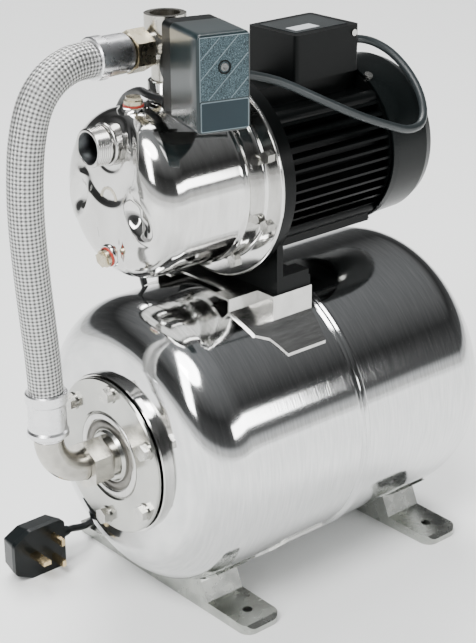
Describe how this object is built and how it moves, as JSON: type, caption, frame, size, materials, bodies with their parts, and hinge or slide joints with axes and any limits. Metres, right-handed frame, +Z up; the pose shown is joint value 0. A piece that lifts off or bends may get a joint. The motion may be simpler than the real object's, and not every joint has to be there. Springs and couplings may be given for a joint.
{
  "type": "pressure tank water pump set",
  "caption": "Self-priming jet pump with finned electric motor and pressure switch on a horizontal steel pressure tank, joined by a braided hose, with mains lead and plug.",
  "frame": {"origin": "centre of the four foot bolt holes, on the floor plane the feet stand on", "axes": "+Z up; +X along the tank and motor axis towards the fan end, so -X is the suction and flange end; +Y towards the mains coil side, -Y the side of the switch face"},
  "size_m": [0.4786, 0.421, 0.5395],
  "materials": {
    "black_paint": "gloss black",
    "black_plastic": "moulded",
    "braid": "stainless braid",
    "brass": "bright",
    "brushed": "satin",
    "cable": "sheathed",
    "ceramic": "lapped",
    "copper": "enamelled wire",
    "grey_plastic": "satin",
    "iron": "laminated",
    "ivory_plastic": "moulded",
    "nickel": "nickel plated",
    "polished_steel": "mirror polished stainless",
    "red_rubber": "satin",
    "rubber": "matt",
    "slate_plastic": "stippled",
    "zinc": "bright zinc"
  },
  "bodies": {
    "pump_set": {"tank_shell_front": "polished_steel", "tank_shell_rear": "polished_steel", "centre_seam": "polished_steel", "neck_ring": "brushed", "flange_plate": "polished_steel", "flange_bolts": "zinc", "bladder": "rubber", "air_valve_stem": "brass", "front_foot": "brushed", "rear_foot": "brushed", "saddle": "brushed", "pump_foot": "black_plastic", "saddle_bolts": "zinc", "pump_casing": "polished_steel", "suction_port": "brushed", "plug_washers": "red_rubber", "casing_bolts": "zinc", "seal_plate": "brushed", "ejector_nozzle": "ivory_plastic", "venturi_tube": "ivory_plastic", "diffuser": "ivory_plastic", "seal_stationary": "ceramic", "motor_adaptor": "black_paint", "bearing_outer": "iron", "stator_core": "iron", "windings": "copper", "motor_housing": "black_paint", "rear_shield": "black_paint", "fan_cover": "black_paint", "cover_screws": "zinc", "terminal_box": "black_plastic", "terminal_lid": "grey_plastic", "terminal_screws": "zinc", "capacitor": "ivory_plastic", "control_cable": "cable", "five_way_fitting": "nickel", "hose_ferrules": "nickel", "braided_hose": "braid", "tank_elbow": "nickel", "switch_base": "black_plastic", "switch_cover": "slate_plastic", "switch_screw": "zinc", "cable_glands": "black_plastic", "mains_lead": "cable", "lead_coil": "cable", "mains_plug": "black_plastic", "plug_pins": "brass"},
    "rotor": {"motor_shaft": "brushed", "rotor_core": "iron", "bearing_inner": "iron", "cooling_fan": "black_plastic", "impeller": "brushed", "seal_rotary": "rubber"},
    "priming_plug": {"priming_plug": "brass"},
    "drain_plug": {"drain_plug": "brass"},
    "air_valve_cap": {"air_valve_cap": "black_plastic"},
    "air_valve_pin": {"air_valve_pin": "brass"},
    "union_nut": {"union_nut": "nickel"},
    "swivel_nut": {"swivel_nut": "brass"},
    "contact_lever": {"contact_lever": "brushed"}
  },
  "joints": [
    {"name": "rotor_spin", "type": "hinge", "parent": "pump_set", "child": "rotor", "pos_m": [0, 0, 0.386], "axis": [1, 0, 0], "continuous": true},
    {"name": "priming_plug_lift", "type": "slide", "parent": "pump_set", "child": "priming_plug", "axis": [0, 0, 1], "range_m": [0, 0.012]},
    {"name": "drain_plug_pull", "type": "slide", "parent": "pump_set", "child": "drain_plug", "axis": [-0.9799, 0, -0.1994], "range_m": [0, 0.02]},
    {"name": "air_valve_cap_pull", "type": "slide", "parent": "pump_set", "child": "air_valve_cap", "axis": [1, 0, 0], "range_m": [0, 0.03]},
    {"name": "air_valve_pin_press", "type": "slide", "parent": "pump_set", "child": "air_valve_pin", "axis": [-1, 0, 0], "range_m": [0, 0.0015], "stiffness_N_per_m": 300},
    {"name": "union_nut_turn", "type": "hinge", "parent": "pump_set", "child": "union_nut", "pos_m": [-0.207, 0, 0.149], "axis": [1, 0, 0], "continuous": true},
    {"name": "swivel_nut_turn", "type": "hinge", "parent": "pump_set", "child": "swivel_nut", "pos_m": [-0.145, 0, 0.507], "axis": [1, 0, 0], "continuous": true},
    {"name": "contact_lever_rock", "type": "hinge", "parent": "pump_set", "child": "contact_lever", "pos_m": [-0.13071, -0.06423, 0.475], "axis": [0.9659, -0.2588, 0], "range_deg": [-2, 4], "stiffness_Nm_per_rad": 0.3}
  ]
}
